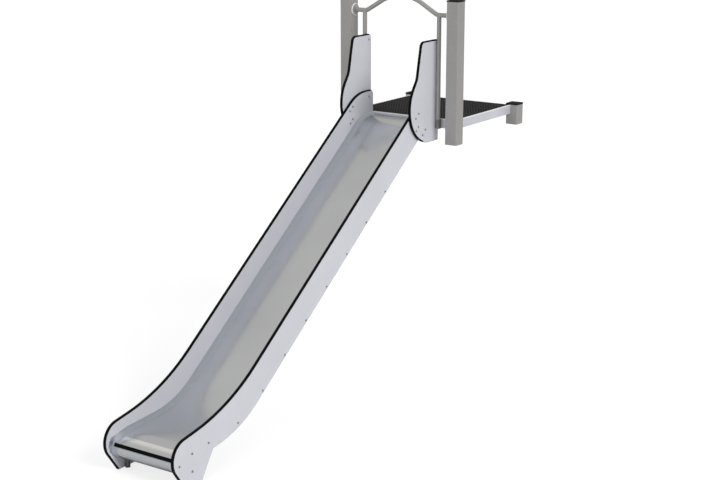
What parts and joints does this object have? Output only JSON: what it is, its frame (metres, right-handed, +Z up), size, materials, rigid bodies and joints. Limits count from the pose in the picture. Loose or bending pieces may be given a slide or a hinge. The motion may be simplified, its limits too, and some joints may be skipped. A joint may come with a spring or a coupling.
{
  "type": "embankment slide",
  "caption": "Straight stainless chute with rolled exit nose between two laminate side panels, hung from a square post platform with an arched entrance rail.",
  "frame": {"origin": "at the height of the ground at the exit, straight below the middle of the line through the two front posts", "axes": "+Z up, +Y from the exit up the slide towards the platform, +X across the slide, to the right as seen from the exit"},
  "size_m": [1.043, 4.0244, 2.8304],
  "materials": {
    "stainless": "fine ground stainless sheet, slightly glossy",
    "laminate": "pale grey compact laminate with a black core showing at the edges",
    "galvanised": "matt hot-dip galvanised steel, warm grey",
    "bright_flange": "bright zinc plated flange",
    "cast_bracket": "mid grey cast bracket",
    "black_plastic": "black moulded plastic",
    "deck_board": "dark non-slip board with a small diamond tread",
    "aluminium": "pale anodised aluminium profile"
  },
  "bodies": {
    "root": {"chute_bed": "stainless", "nose_strip": "black_plastic", "side_panel_left": "laminate", "side_panel_right": "laminate", "wing_panel_left": "laminate", "wing_panel_right": "laminate", "arch_rail": "galvanised", "upright_left": "galvanised", "upright_right": "galvanised", "rosette_left": "bright_flange", "rosette_right": "bright_flange", "upright_bracket_left": "cast_bracket", "upright_bracket_right": "cast_bracket", "front_post_left": "galvanised", "front_post_right": "galvanised", "rear_post_left": "galvanised", "rear_post_right": "galvanised", "front_post_cap_left": "black_plastic", "front_post_cap_right": "black_plastic", "rear_post_cap_left": "black_plastic", "rear_post_cap_right": "black_plastic", "deck_board": "deck_board", "front_beam": "aluminium", "rear_beam": "aluminium", "side_beam_left": "aluminium", "side_beam_right": "aluminium", "cross_tube_01": "galvanised", "cross_tube_02": "galvanised", "cross_tube_03": "galvanised", "cross_tube_04": "galvanised", "cross_tube_05": "galvanised", "cross_tube_06": "galvanised", "cross_tube_07": "galvanised", "cross_tube_08": "galvanised", "cross_tube_09": "galvanised", "cross_tube_10": "galvanised", "exit_leg_left": "galvanised", "exit_leg_right": "galvanised"}
  },
  "joints": []
}
